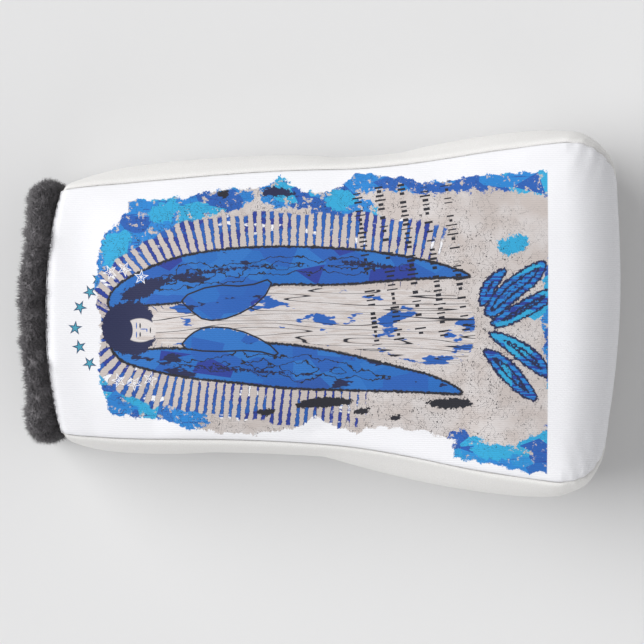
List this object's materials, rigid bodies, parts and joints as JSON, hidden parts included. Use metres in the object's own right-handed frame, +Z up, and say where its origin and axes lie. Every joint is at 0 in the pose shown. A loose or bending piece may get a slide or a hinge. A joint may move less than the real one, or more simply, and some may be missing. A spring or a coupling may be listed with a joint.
{
  "type": "putter head cover",
  "caption": "Padded sock for a putter head: printed woven front wall, smooth gussets, dark pile lining and a fleece rim round the mouth.",
  "frame": {"origin": "middle of the underside, on the surface that the cover lies on", "axes": "+X from the open mouth to the closed end, +Z up through the printed front wall, +Y to the left gusset as seen from the mouth"},
  "size_m": [0.16, 0.099, 0.048],
  "materials": {
    "printed_weave": "matte",
    "leatherette": "satin",
    "padding": "matte",
    "pile_lining": "matte",
    "fleece": "matte",
    "elastic": "matte",
    "thread": "satin",
    "label_tape": "satin"
  },
  "bodies": {
    "root": {"back_panel": "leatherette", "left_gusset": "leatherette", "right_gusset": "leatherette", "back_padding": "padding", "left_padding": "padding", "right_padding": "padding", "back_lining": "pile_lining", "left_lining": "pile_lining", "right_lining": "pile_lining", "back_rim": "fleece", "back_elastic": "elastic", "left_front_thread": "thread", "right_front_thread": "thread", "left_back_thread": "thread", "right_back_thread": "thread", "end_thread": "thread", "back_mouth_thread": "thread", "care_label": "label_tape"},
    "front_wall": {"front_panel": "printed_weave", "front_padding": "padding", "front_lining": "pile_lining", "front_rim": "fleece", "front_elastic": "elastic", "front_mouth_thread": "thread"}
  },
  "joints": [
    {"name": "mouth_open", "type": "hinge", "parent": "root", "child": "front_wall", "pos_m": [0.08, 0, 0.024], "axis": [0, 1, 0], "range_deg": [0, 6], "stiffness_Nm_per_rad": 1.5}
  ]
}
